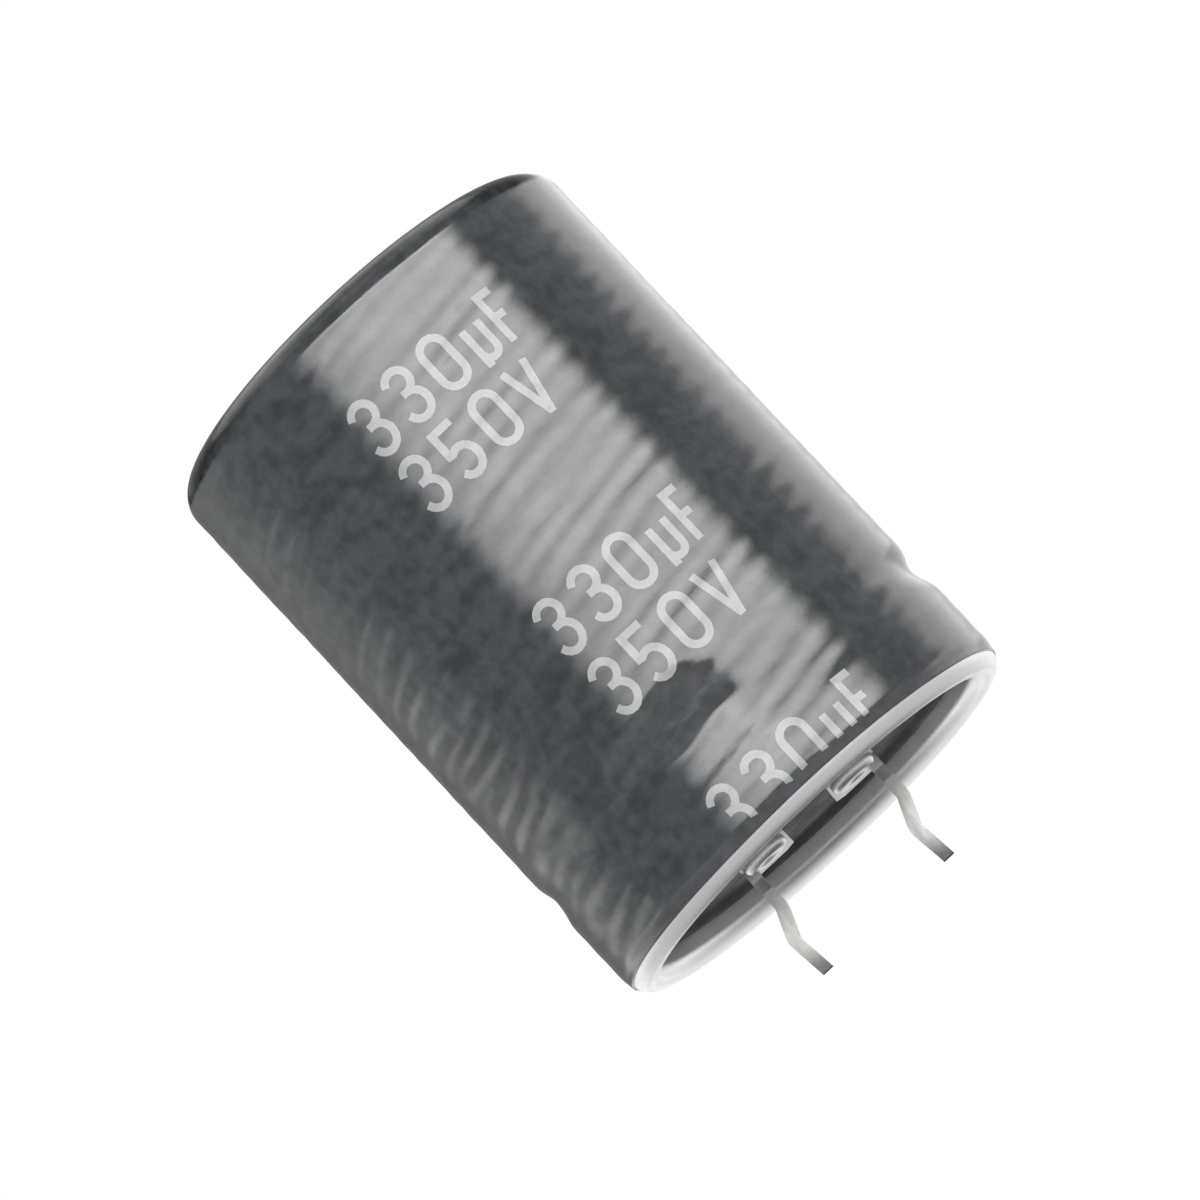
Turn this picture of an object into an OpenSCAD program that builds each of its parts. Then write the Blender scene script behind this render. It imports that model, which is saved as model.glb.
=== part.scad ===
// Snap-in aluminium electrolytic capacitor, 30 mm can with a shrunk sleeve.
// Units are millimetres. The origin is the middle of the curled rim, in the
// plane that sits on the circuit board. +Z runs up to the closed end, and the
// two terminals point down along -Z, side by side on the X axis.

/* [Can] */
// Outer diameter of the drawn aluminium can
can_d = 29.8; // [29:0.1:35]
// Height of the can, from the curled rim to the closed end
can_h = 41.75; // [36:0.25:60]
// Thickness of the can's wall
can_wall = 0.5; // [0.4:0.05:0.6]
// Outer radius of the corner at the closed end
can_corner_r = 1.5; // [1.2:0.1:3]
// Depth of the bead that is rolled in over the seal
bead_depth = 1.3; // [1.2:0.05:1.6]
// Height of the bead, from its middle to its edge
bead_half_h = 1.75; // [1.6:0.05:2.2]
// Radius of the bead's bends, at the middle of the wall
bead_r = 0.9; // [0.7:0.05:1]
// Radius of the curled rim, at the middle of the wall
curl_r = 0.8; // [0.6:0.05:0.9]

/* [Vent] */
// Length of each score line across the closed end
vent_len = 16; // [10:1:20]
// Width of a score line
vent_w = 0.4; // [0.3:0.05:0.6]
// Depth of a score line
vent_depth = 0.2; // [0.1:0.05:0.3]

/* [Seal] */
// Distance from the rim up to the seal's outer face
seal_recess = 2; // [1.8:0.1:3]
// Thickness of the rubber layer on the seal's outer side
rubber_t = 2; // [1.5:0.1:3]
// Thickness of the stiff laminate board behind the rubber
board_t = 2; // [1.5:0.1:3]
// Gap between the board's edge and the can's wall
board_gap = 0.15; // [0.1:0.01:0.2]
// Depth to which the lip of the curl bites into the rubber
lip_bite = 0.3; // [0.2:0.05:0.6]

/* [Terminals] */
// Distance between the two pins
pin_pitch = 10; // [9:0.1:11]
// Reach of a pin below the rim
pin_len = 6.4; // [5.5:0.1:7.3]
// Width of a pin
pin_w = 1.5; // [1.2:0.1:1.6]
// Thickness of the terminal strip
strip_t = 0.8; // [0.6:0.05:0.9]
// Width of a terminal's leg where it leaves the foot
leg_w = 3; // [2.4:0.1:3.4]
// Height of the leg's shoulders above the rim
shoulder_z = 0.3; // [0.2:0.1:0.6]
// Sideways reach of the kink that snaps under the board
kink_reach = 0.85; // [0.6:0.05:1.1]
// Distance from the rim down to where the kink starts
kink_start = 1.7; // [1.2:0.1:2]
// Distance from the rim down to the widest point of the kink
kink_peak = 3.7; // [3:0.1:4.2]
// Sideways offset of the pin's tip
tip_offset = 0.5; // [0.2:0.05:0.8]
// Width of a terminal's foot
foot_w = 3.6; // [3.4:0.1:4]
// Reach of the foot past the line of the pins, away from the rivet
foot_heel = 4.2; // [3.6:0.1:5]
// Width of the relief slots beside the bend
bend_relief = 0.3; // [0.2:0.05:0.4]
// Diameter of the pip that stops the foot from turning
pip_d = 1; // [0.8:0.1:1.2]

/* [Rivets] */
// Diameter of a rivet's shank
rivet_d = 2; // [1.6:0.1:2.2]
// Diameter of a rivet's two heads
rivet_head_d = 3.2; // [2.8:0.1:3.4]
// Height of each head
rivet_head_h = 0.7; // [0.5:0.05:0.8]
// Diameter of the washer under a rivet's inner head
washer_d = 5; // [4:0.1:6]
// Thickness of the washer
washer_t = 0.5; // [0.4:0.05:0.6]

/* [Wound element] */
// Gap between the wound element and the can's wall
element_gap = 0.6; // [0.5:0.05:0.8]
// Diameter of the hole that the winding spindle leaves
core_d = 3.5; // [3:0.1:5]
// Distance between the ridges of the turns on the end faces
turn_step = 1.5; // [1.2:0.1:2.5]
// Thickness of the closing tape
tape_t = 0.15; // [0.1:0.01:0.2]
// Length of bare element above and below the tape
tape_margin = 2.5; // [1.5:0.1:4]
// Width of a lead tab
tab_w = 4; // [3:0.1:4.4]
// Thickness of a lead tab
tab_t = 0.25; // [0.2:0.05:0.3]
// Gap between a rivet's inner head and the rise of its tab
tab_clear = 1.2; // [0.8:0.1:2]
// Length of a tab's loose fold
tab_fold = 3; // [2:0.25:4]
// Depth to which a tab is wound into the element
tab_depth = 3; // [2:0.5:8]

/* [Sleeve] */
// Thickness of the shrunk plastic sleeve
sleeve_t = 0.2; // [0.15:0.01:0.3]
// Width of the sleeve's ring on the closed end
sleeve_ring = 3.4; // [2:0.1:5]
// Distance from the rim up to the sleeve's cut edge
sleeve_edge = 1.1; // [1.1:0.1:2]
// Depth to which the sleeve is drawn into the bead
sleeve_dip = 0.5; // [0.2:0.05:0.6]

/* [Fits] */
// Gap between pieces that slide together
fit = 0.05; // [0.03:0.01:0.07]

/* [Hidden] */
$fn = 96;

// Arc steps on a rounded corner, and how far a cut runs past a face
steps = 6;
over = 1;

// Radii of the can's wall: its middle and its inside
wall_mid = can_d / 2 - can_wall / 2;
can_in = can_d / 2 - can_wall;

// The bead is a rounded V. Its flank meets a sharp edge of radius r at this
// height from the bead's middle, on the inside of the wall.
bead_flank = norm([bead_depth, bead_half_h]);
function bead_seat(r) =
    (bead_flank * can_wall / 2 + bead_half_h * (r - wall_mid + bead_depth)) / bead_depth;

// Heights of the seal, the bead above it and the element on the bead
board_r = can_in - board_gap;
board_z = seal_recess + rubber_t;
seal_top = board_z + board_t;
bead_z = seal_top + bead_seat(board_r) + fit;
element_r = can_in - element_gap;
element_z = bead_z + bead_seat(element_r) + fit;

// The element's top edge meets the rounded corner inside the closed end
inner_r = can_corner_r - can_wall;
into_corner = max(0, element_r - (can_in - inner_r));
element_top = can_h - can_corner_r - fit + sqrt(inner_r * inner_r - into_corner * into_corner);

// Places of the terminals. The foot reaches inward from the leg.
pin_x = pin_pitch / 2;
foot_z = seal_recess - strip_t;
foot_out = pin_x + strip_t / 2;
foot_in = foot_out - foot_w;
bend_r = strip_t;
bend_x = pin_x - bend_r;
rivet_x = (foot_in + foot_out) / 2;
rivet_y = leg_w / 2 + bend_relief + rivet_head_d / 2;
pip_y = foot_heel - foot_w / 3;
pip_h = 0.6;

// Places of the tabs, which fold once between the rivets and the element
tab_x = rivet_x + rivet_head_d / 2 + tab_clear;
tab_z = seal_top + washer_t + tab_t / 2;
fold_z = (tab_z + element_z) / 2 + tab_t;
tab_r = (fold_z - tab_z) / 2;

// Middle of the sleeve's wall, beside the can and on its closed end
sleeve_mid = can_d / 2 + fit + sleeve_t / 2;
sleeve_top = can_h + fit + sleeve_t / 2;
sleeve_corner_r = can_corner_r + fit + sleeve_t / 2;
dip_r = 2 * bead_r;

function unit(v) = v / norm(v);
function left_of(v) = [-v[1], v[0]];
function turned(v, a) = [v[0] * cos(a) - v[1] * sin(a), v[0] * sin(a) + v[1] * cos(a)];
function flat(p) = [p[0], p[1]];

// Points of the arc of radius r that rounds the corner b between a and c
function corner(a, b, c, r) =
    let (u = unit(a - b), v = unit(c - b), half = acos(u * v) / 2)
    let (mid = b + unit(u + v) * r / sin(half))
    let (from = b + u * r / tan(half) - mid)
    let (turn = (180 - 2 * half) * sign(u[1] * v[0] - u[0] * v[1]))
    [for (i = [0:steps]) mid + turned(from, turn * i / steps)];

// A line through points [x, z, radius], with each corner rounded to its radius
function rounded(path) =
    let (line = [for (i = [0:len(path) - 1])
        each path[i][2] == 0 ? [flat(path[i])]
            : corner(flat(path[i - 1]), flat(path[i]), flat(path[i + 1]), path[i][2])])
    [for (i = [0:len(line) - 1]) if (i == 0 || norm(line[i] - line[i - 1]) > 0.001) line[i]];

// Step from point i of a line to the left, mitred so that the wall keeps its thickness
function mitre(line, i) =
    let (after = i < len(line) - 1 ? unit(line[i + 1] - line[i]) : unit(line[i] - line[i - 1]))
    let (before = i > 0 ? unit(line[i] - line[i - 1]) : after)
    let (side = left_of(unit(before + after)))
    side / (side * left_of(after));

// Outline of a wall of thickness t along a line
function wall(line, t) =
    concat([for (i = [0:len(line) - 1]) line[i] + mitre(line, i) * t / 2],
           [for (i = [len(line) - 1:-1:0]) line[i] - mitre(line, i) * t / 2]);

// Ring between two radii
module ring(r_out, r_in, h) {
    difference() {
        cylinder(r = r_out, h = h);
        translate([0, 0, -over]) cylinder(r = r_in, h = h + 2 * over);
    }
}

// Puts its children on the negative (+X) or the positive (-X) side
module on_side(side) {
    if (side > 0) children();
    else mirror([1, 0, 0]) children();
}

// Cuts the rivet's hole through whatever lies on the seal
module rivet_hole(d) {
    translate([rivet_x, -rivet_y, -over]) cylinder(d = d, h = can_h, $fn = 48);
}

// Both rivet holes and both pip holes
module seal_holes() {
    for (side = [-1, 1]) on_side(side) {
        rivet_hole(rivet_d + 2 * fit);
        translate([rivet_x, pip_y, seal_recess - over])
            cylinder(d = pip_d + 2 * fit, h = over + pip_h + fit, $fn = 32);
    }
}

// Drawn cup with a rolled bead and a rim that is curled into the rubber
module can() {
    line = rounded([[0, can_h - can_wall / 2, 0],
                    [wall_mid, can_h - can_wall / 2, can_corner_r - can_wall / 2],
                    [wall_mid, bead_z + bead_half_h, bead_r],
                    [wall_mid - bead_depth, bead_z, bead_r],
                    [wall_mid, bead_z - bead_half_h, bead_r],
                    [wall_mid, can_wall / 2, curl_r],
                    [wall_mid - 2 * curl_r, can_wall / 2, curl_r],
                    [wall_mid - 2 * curl_r, seal_recess + lip_bite, 0]]);
    color("silver")
    difference() {
        rotate_extrude() polygon(wall(line, can_wall));
        for (turn = [0, 90]) rotate(turn) vent_score();
    }
}

// One score line of the vent, with round ends
module vent_score() {
    translate([0, 0, can_h - vent_depth]) linear_extrude(vent_depth + over) {
        square([vent_len - vent_w, vent_w], center = true);
        for (end = [-1, 1])
            translate([end * (vent_len - vent_w) / 2, 0]) circle(d = vent_w, $fn = 24);
    }
}

// Soft layer of the seal, with a groove that the lip of the curl bites
module seal_rubber() {
    lip_r = wall_mid - 2 * curl_r;
    color([0.16, 0.16, 0.17])
    difference() {
        translate([0, 0, seal_recess]) cylinder(r = can_in - fit, h = rubber_t);
        translate([0, 0, seal_recess - over])
            ring(lip_r + can_wall / 2 + fit, lip_r - can_wall / 2 - fit, over + lip_bite + fit);
        seal_holes();
    }
}

// Stiff layer of the seal, which the bead holds down on the rubber
module seal_board() {
    color([0.42, 0.27, 0.16])
    difference() {
        translate([0, 0, board_z]) cylinder(r = board_r, h = board_t);
        seal_holes();
    }
}

// Outline of the foot, seen along Z: round at the rivet, with bend reliefs
module foot_outline() {
    difference() {
        union() {
            translate([foot_in, -rivet_y]) square([foot_w, rivet_y + foot_heel]);
            translate([rivet_x, -rivet_y]) circle(d = foot_w, $fn = 48);
        }
        translate([bend_x, -leg_w / 2 - bend_relief]) square([foot_w, leg_w + 2 * bend_relief]);
        for (x = [foot_in, foot_out])
            translate([x, foot_heel]) rotate(45) square(foot_w / 4, center = true);
    }
}

// Side view of the strip: out of the foot, round the bend and down to the tip
module strip_side(kink) {
    polygon(wall(rounded([[foot_in + strip_t, foot_z + strip_t / 2, 0],
                          [pin_x, foot_z + strip_t / 2, bend_r],
                          [pin_x, -kink_start, bend_r],
                          [pin_x + kink * kink_reach, -kink_peak, bend_r],
                          [pin_x + kink * tip_offset, -pin_len - strip_t, 0]]), strip_t));
}

// Front view of the leg: wide at the foot, with shoulders and a pointed pin
module leg_front() {
    half = [[leg_w / 2, seal_recess + over], [leg_w / 2, shoulder_z],
            [pin_w / 2, shoulder_z - (leg_w - pin_w) / 2],
            [pin_w / 2, pin_w - pin_len], [pin_w / 4, -pin_len]];
    polygon(concat(half, [for (i = [len(half) - 1:-1:0]) [-half[i][0], half[i][1]]]));
}

// Snap-in terminal: stamped and bent from one strip. Both pins kink towards -X.
module terminal(side) {
    color([0.78, 0.78, 0.76])
    on_side(side) {
        difference() {
            union() {
                translate([0, 0, foot_z]) linear_extrude(strip_t) foot_outline();
                translate([rivet_x, pip_y, foot_z]) cylinder(d = pip_d, h = strip_t + pip_h, $fn = 32);
            }
            rivet_hole(rivet_d + 2 * fit);
        }
        intersection() {
            translate([0, leg_w, 0]) rotate([90, 0, 0]) linear_extrude(2 * leg_w) strip_side(-side);
            rotate([90, 0, 90]) linear_extrude(pin_pitch) leg_front();
        }
    }
}
module terminal_negative() { terminal(1); }
module terminal_positive() { terminal(-1); }

// Rivet that clamps the foot, the seal, the washer and the tab together
module rivet(side) {
    head_r = rivet_head_d / 2;
    round_r = rivet_head_h * 0.6;
    top = tab_z + tab_t / 2;
    color([0.83, 0.83, 0.84])
    on_side(side) translate([rivet_x, -rivet_y, 0])
        rotate_extrude($fn = 48) polygon(rounded([[0, foot_z - rivet_head_h, 0],
                                          [head_r, foot_z - rivet_head_h, round_r],
                                          [head_r, foot_z, 0],
                                          [rivet_d / 2, foot_z, 0],
                                          [rivet_d / 2, top, 0],
                                          [head_r, top, 0],
                                          [head_r, top + rivet_head_h, round_r],
                                          [0, top + rivet_head_h, 0]]));
}
module rivet_negative() { rivet(1); }
module rivet_positive() { rivet(-1); }

// Washer between the board and the tab
module washer(side) {
    color([0.8, 0.8, 0.82])
    on_side(side) translate([rivet_x, -rivet_y, seal_top])
        ring(washer_d / 2, rivet_d / 2 + fit, washer_t);
}
module washer_negative() { washer(1); }
module washer_positive() { washer(-1); }

// Foil strip from the rivet to the element, folded once so that it can give
module tab(side) {
    line = rounded([[rivet_x - rivet_head_d / 2, tab_z, 0],
                    [tab_x + tab_fold, tab_z, tab_r],
                    [tab_x + tab_fold, fold_z, tab_r],
                    [tab_x, fold_z, tab_t],
                    [tab_x, element_z + tab_depth, 0]]);
    color([0.86, 0.86, 0.87])
    on_side(side) difference() {
        translate([0, tab_w / 2 - rivet_y, 0]) rotate([90, 0, 0])
            linear_extrude(tab_w) polygon(wall(line, tab_t));
        rivet_hole(rivet_d + 2 * fit);
    }
}
module cathode_tab() { tab(1); }
module anode_tab() { tab(-1); }

// Roll of foil and paper: one solid, ridged on its end faces by the turns
module wound_element() {
    ridge = 0.3;
    color([0.85, 0.8, 0.68])
    difference() {
        translate([0, 0, element_z]) cylinder(r = element_r, h = element_top - element_z);
        cylinder(d = core_d, h = can_h, $fn = 48);
        for (r = [core_d / 2 + turn_step:turn_step:element_r - turn_step])
            for (z = [element_z - over, element_top - ridge])
                translate([0, 0, z]) ring(r + turn_step / 4, r - turn_step / 4, over + ridge);
        for (side = [-1, 1]) on_side(side)
            translate([tab_x - tab_t / 2 - fit, -rivet_y - tab_w / 2 - fit, element_z - over])
                cube([tab_t + 2 * fit, tab_w + 2 * fit, over + tab_depth + fit]);
    }
}

// Tape that keeps the roll closed
module winding_tape() {
    color([0.9, 0.87, 0.75])
    translate([0, 0, element_z + tape_margin])
        ring(element_r + fit + tape_t, element_r + fit,
             element_top - element_z - 2 * tape_margin);
}

// Shrunk sleeve: a ring on the closed end, a soft dip at the bead, a cut edge at the rim
module sleeve() {
    line = rounded([[can_d / 2 - sleeve_ring, sleeve_top, 0],
                    [sleeve_mid, sleeve_top, sleeve_corner_r],
                    [sleeve_mid, bead_z + bead_half_h, dip_r],
                    [sleeve_mid - sleeve_dip, bead_z, dip_r],
                    [sleeve_mid, bead_z - bead_half_h, dip_r],
                    [sleeve_mid, sleeve_edge, 0]]);
    color([0.27, 0.28, 0.28]) rotate_extrude() polygon(wall(line, sleeve_t));
}

sleeve();
can();
seal_rubber();
seal_board();
terminal_negative();
terminal_positive();
rivet_negative();
rivet_positive();
washer_negative();
washer_positive();
cathode_tab();
anode_tab();
wound_element();
winding_tape();
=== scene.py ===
import math

import bpy
import numpy as np
from mathutils import Matrix, Vector


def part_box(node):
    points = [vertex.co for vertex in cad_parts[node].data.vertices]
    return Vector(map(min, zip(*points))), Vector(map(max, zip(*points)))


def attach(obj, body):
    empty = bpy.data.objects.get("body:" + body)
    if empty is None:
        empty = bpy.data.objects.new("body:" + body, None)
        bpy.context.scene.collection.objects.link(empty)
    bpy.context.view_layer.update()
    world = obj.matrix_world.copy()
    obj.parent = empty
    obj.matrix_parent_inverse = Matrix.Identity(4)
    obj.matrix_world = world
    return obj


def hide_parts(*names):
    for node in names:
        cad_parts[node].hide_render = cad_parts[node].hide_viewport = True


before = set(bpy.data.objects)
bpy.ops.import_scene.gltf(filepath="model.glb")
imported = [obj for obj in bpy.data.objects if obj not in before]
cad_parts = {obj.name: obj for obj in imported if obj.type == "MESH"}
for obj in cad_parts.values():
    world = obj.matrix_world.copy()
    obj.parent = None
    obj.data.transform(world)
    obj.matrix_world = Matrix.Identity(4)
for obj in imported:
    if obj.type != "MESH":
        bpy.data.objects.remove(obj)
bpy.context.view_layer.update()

# Lengths in this file are in millimetres, and MM turns them into metres.
# The frame is the record's: +Z to the closed end, the pins on X, the text on -Y.
MM = 0.001
TAU = 2 * math.pi

# Points of a line that are nearer than this count as one
SAME_POINT = 1e-4

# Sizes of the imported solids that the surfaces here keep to
CAN_R = 14.9
CAN_TOP = 41.75
CAN_WALL = 0.5
WALL_MID = CAN_R - CAN_WALL / 2
CAN_CORNER_R = 1.5
BEAD_Z = 7.68
BEAD_DEPTH = 1.3
BEAD_HALF_H = 1.75
BEAD_R = 0.9
CURL_R = 0.8
SEAL_FACE = 2.0
SEAL_BACK = 4.0
LIP_TOP = 2.3
RIVET_X, RIVET_Y = 3.6, 3.4
RIVET_HEAD_R, RIVET_HEAD_H = 1.6, 0.7
RIVET_SHANK_R = 1.0

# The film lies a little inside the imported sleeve. Its cut edge is lower, as in the photograph.
SLEEVE_R = 15.12
SLEEVE_T = 0.19
SLEEVE_TOP = 41.99
SLEEVE_CORNER_R = 1.72
SLEEVE_RING_R = 11.5
SLEEVE_EDGE = 0.78

# The rounded edges of the stamped terminals, and how near their doubled points are
STAMPED_EDGE = 0.05
WELD_REACH = 0.0005

# The camera's place beside the can, as in the photograph
CAMERA_DISTANCE = 475.2
CAMERA_ELEVATION = math.radians(-9.76)
CAMERA_ROLL = math.radians(-43.12)
AIM_RIGHT, AIM_UP = 0.60, -1.16
CAMERA_LENS, CAMERA_SENSOR = 233.7, 36
CAMERA_NEAR, CAMERA_FAR = 10, 20000
CAN_MIDDLE = 21.0


# Shapes

def arc_corner(before, at, after, radius, steps):
    """Points of the arc that rounds the corner `at`: centre on the bisector, ends on the two sides."""
    back = (before - at) / np.linalg.norm(before - at)
    on = (after - at) / np.linalg.norm(after - at)
    half = math.acos(float(np.clip(back @ on, -1, 1))) / 2
    middle = at + (back + on) / np.linalg.norm(back + on) * radius / math.sin(half)
    start = at + back * radius / math.tan(half) - middle
    turn = (math.pi - 2 * half) * np.sign(back[1] * on[0] - back[0] * on[1])
    angle = turn * np.linspace(0, 1, steps + 1)
    return middle + np.stack([start[0] * np.cos(angle) - start[1] * np.sin(angle),
                              start[0] * np.sin(angle) + start[1] * np.cos(angle)], 1)


def without_doubles(line):
    """The line without the points that lie on the one before them."""
    apart = np.linalg.norm(np.diff(line, axis=0), axis=1) > SAME_POINT
    return line[np.concatenate([[True], apart])]


def rounded_line(corners, steps):
    """Line through corners (x, z, radius), each rounded by its own arc."""
    place = np.array([c[:2] for c in corners], float)
    parts = [place[i:i + 1] if c[2] == 0 else arc_corner(place[i - 1], place[i], place[i + 1], c[2], steps)
             for i, c in enumerate(corners)]
    return without_doubles(np.concatenate(parts))


def side_step(line):
    """For each point of a line, the step to its left that keeps a wall one unit thick: the mitre."""
    ahead = np.diff(line, axis=0)
    ahead /= np.linalg.norm(ahead, axis=1)[:, None]
    before = np.concatenate([ahead[:1], ahead])
    after = np.concatenate([ahead, ahead[-1:]])
    both = before + after
    both /= np.linalg.norm(both, axis=1)[:, None]
    side = np.stack([-both[:, 1], both[:, 0]], 1)
    square = np.stack([-after[:, 1], after[:, 0]], 1)
    return side / np.sum(side * square, 1)[:, None]


def wall_outline(line, thickness):
    """Closed outline of a wall along a line: there on its left side and back on its right."""
    step = side_step(line) * thickness / 2
    return np.concatenate([line + step, (line - step)[::-1]])


def evenly(line, spacing):
    """The same line with points added, so that none are further apart than the spacing."""
    line = without_doubles(line)
    gaps = np.linalg.norm(np.diff(line, axis=0), axis=1)
    counts = np.maximum(1, np.ceil(gaps / spacing).astype(int))
    parts = [line[i] + (line[i + 1] - line[i]) * (np.arange(n) / n)[:, None] for i, n in enumerate(counts)]
    return np.concatenate(parts + [line[-1:]])


def grid_faces(rows, columns, close_rows=False, close_columns=True, first=0):
    """Four-sided faces between the neighbours of a rows by columns grid of points."""
    row = np.arange(rows if close_rows else rows - 1)[:, None]
    column = np.arange(columns if close_columns else columns - 1)[None, :]
    start, next_start = row * columns, (row + 1) % rows * columns
    next_column = (column + 1) % columns
    faces = np.stack([start + column, start + next_column, next_start + next_column, next_start + column], -1)
    return faces.reshape(-1, 4) + first


def fan_faces(pole, ring):
    """Triangles from one pole point to a closed ring of points."""
    return np.stack([np.full(len(ring), pole), ring, np.roll(ring, -1)], 1)


def wound_outwards(points, faces):
    """The faces, turned round if the volume they enclose comes out negative: the sum over their triangles
    of a corner times the cross product of the other two."""
    volume = 0.0
    for f in faces:
        for k in range(1, f.shape[1] - 1):
            a, b, c = points[f[:, 0]], points[f[:, k]], points[f[:, k + 1]]
            volume += np.sum(a * np.cross(b, c))
    return [f[:, ::-1] for f in faces] if volume < 0 else faces


def round_the_can(radius, angle, height):
    """Points by distance from the axis, angle and height. Angle zero is at -Y, and a quarter turn at +X."""
    radius, angle, height = np.broadcast_arrays(radius, angle, height)
    return np.stack([radius * np.sin(angle), -radius * np.cos(angle), height], -1)


def turned_surface(radius, height, angle, poles=False):
    """Surface of revolution: a row for each point of the turned line, and a column for each angle. With
    poles, its first and last row are single points on the axis; else the rows close in a ring."""
    points = round_the_can(radius, angle, height)
    rows, columns = points.shape[:2]
    if not poles:
        return points.reshape(-1, 3), [grid_faces(rows, columns, close_rows=True)]
    inner = points[1:-1].reshape(-1, 3)
    count = len(inner)
    ends = np.array([[0, 0, height[0, 0]], [0, 0, height[-1, 0]]])
    first_ring = np.arange(columns)
    last_ring = np.arange(count - columns, count)
    return np.concatenate([inner, ends]), [grid_faces(rows - 2, columns),
                                           fan_faces(count, first_ring[::-1]),
                                           fan_faces(count + 1, last_ring)]


def all_round(count):
    """One row of angles, evenly spaced round the can."""
    return np.linspace(0, TAU, count, endpoint=False)[None, :]


def in_scene(name, data):
    """A new object at the origin that holds a mesh, a camera or a lamp."""
    made = bpy.data.objects.new(name, data)
    bpy.context.scene.collection.objects.link(made)
    return made


def finished_piece(name, points, faces, material, sharp, nodes=()):
    """A smooth-shaded mesh piece in metres. Edges that turn by more than `sharp` degrees stay sharp."""
    faces = wound_outwards(points, faces)
    mesh = bpy.data.meshes.new(name)
    mesh.from_pydata((points * MM).tolist(), [], [f for part in faces for f in part.tolist()])
    mesh.validate()
    mesh.shade_smooth()
    mesh.set_sharp_from_angle(angle=math.radians(sharp))
    mesh.materials.append(material)
    hand_over(in_scene(name, mesh), nodes)


def hand_over(piece, nodes=()):
    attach(piece, "root")
    for node_name in nodes:
        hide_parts(node_name)


def hump(x, middle, width):
    """Bell curve of height one."""
    return np.exp(-0.5 * ((x - middle) / width) ** 2)


def degrees_from(angle, middle=0):
    """Degrees round the can from the middle to an angle in radians, from minus to plus half a turn."""
    return (np.degrees(angle) - middle + 180) % 360 - 180


def round_hump(angle, middle, width):
    """Bell curve in degrees round the can."""
    return np.exp(-0.5 * (degrees_from(angle, middle) / width) ** 2)


def rise(x, low, high):
    """Smooth step from zero at `low` to one at `high`: three squares less two cubes of the share."""
    share = np.clip((x - low) / (high - low), 0, 1)
    return share * share * (3 - 2 * share)


def plateau(x, up, down):
    """Smooth step up over the first range, and down again over the second."""
    return rise(x, *up) * (1 - rise(x, *down))


# Materials

def node(tree, kind, inputs=None, **settings):
    """A node with its settings. An input is a value, or the socket that it is linked from."""
    made = tree.nodes.new(kind)
    for name, value in settings.items():
        setattr(made, name, value)
    for name, value in (inputs or {}).items():
        if isinstance(value, bpy.types.NodeSocket):
            tree.links.new(value, made.inputs[name])
        else:
            made.inputs[name].default_value = value
    return made


def maths(tree, operation, a, b=0.0):
    """One sum on values or sockets."""
    return node(tree, "ShaderNodeMath", {0: a, 1: b}, operation=operation).outputs[0]


def between(tree, value, low, high, start=0.0, end=1.0, kind="SMOOTHSTEP"):
    """Turns the range low to high of a value into start to end."""
    return node(tree, "ShaderNodeMapRange", {"Value": value, "From Min": low, "From Max": high,
                                             "To Min": start, "To Max": end},
                interpolation_type=kind).outputs["Result"]


def object_place(tree, stretch=(1, 1, 1), turn=(0, 0, 0)):
    """The point's own place on the part, stretched and turned by a Mapping node."""
    place = node(tree, "ShaderNodeTexCoord").outputs["Object"]
    return node(tree, "ShaderNodeMapping", {"Vector": place, "Scale": stretch, "Rotation": turn}).outputs[0]


def place_axes(tree):
    """The point's x, y and z on the part."""
    return node(tree, "ShaderNodeSeparateXYZ", {0: object_place(tree)}).outputs


def from_axis(tree, place):
    """Distance of the point from the can's axis."""
    squares = [maths(tree, "MULTIPLY", side, side) for side in (place[0], place[1])]
    return maths(tree, "SQRT", maths(tree, "ADD", *squares))


def grain(tree, size, stretch=(1, 1, 1), turn=(0, 0, 0), detail=3.0, rough=0.5):
    """Soft noise from 0 to 1 whose grains are about `size` millimetres."""
    return node(tree, "ShaderNodeTexNoise", {"Vector": object_place(tree, stretch, turn),
                                             "Scale": 1 / (size * MM), "Detail": detail,
                                             "Roughness": rough}).outputs["Fac"]


def mixed_colour(tree, share, first, second):
    """Colour from the first to the second by the share."""
    made = node(tree, "ShaderNodeMix", {"Factor": share}, data_type="RGBA")
    made.inputs["A"].default_value = (*first, 1)
    made.inputs["B"].default_value = (*second, 1)
    return next(o for o in made.outputs if o.type == "RGBA")


def spread(tree, noise, start, end):
    """Turns the usual range of a noise into start to end."""
    return between(tree, noise, 0.3, 0.7, start, end)


def raised(tree, height, depth):
    """Bump whose height of one is `depth` millimetres."""
    return node(tree, "ShaderNodeBump", {"Height": height, "Strength": 1.0,
                                         "Distance": depth * MM}).outputs["Normal"]


def new_finish(name, **values):
    """A material with one Principled shader, and constant values on its sockets."""
    material = bpy.data.materials.new(name)
    material.use_nodes = True
    tree = material.node_tree
    shader = tree.nodes["Principled BSDF"]
    for socket, value in values.items():
        shader.inputs[socket.replace("_", " ")].default_value = value
    return material, tree, shader


def dressed(material, shader, colour, rough, bump):
    """The material with its colour, roughness and bump linked to its shader."""
    links = material.node_tree.links
    links.new(colour, shader.inputs["Base Color"])
    links.new(rough, shader.inputs["Roughness"])
    links.new(bump, shader.inputs["Normal"])
    return material


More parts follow.
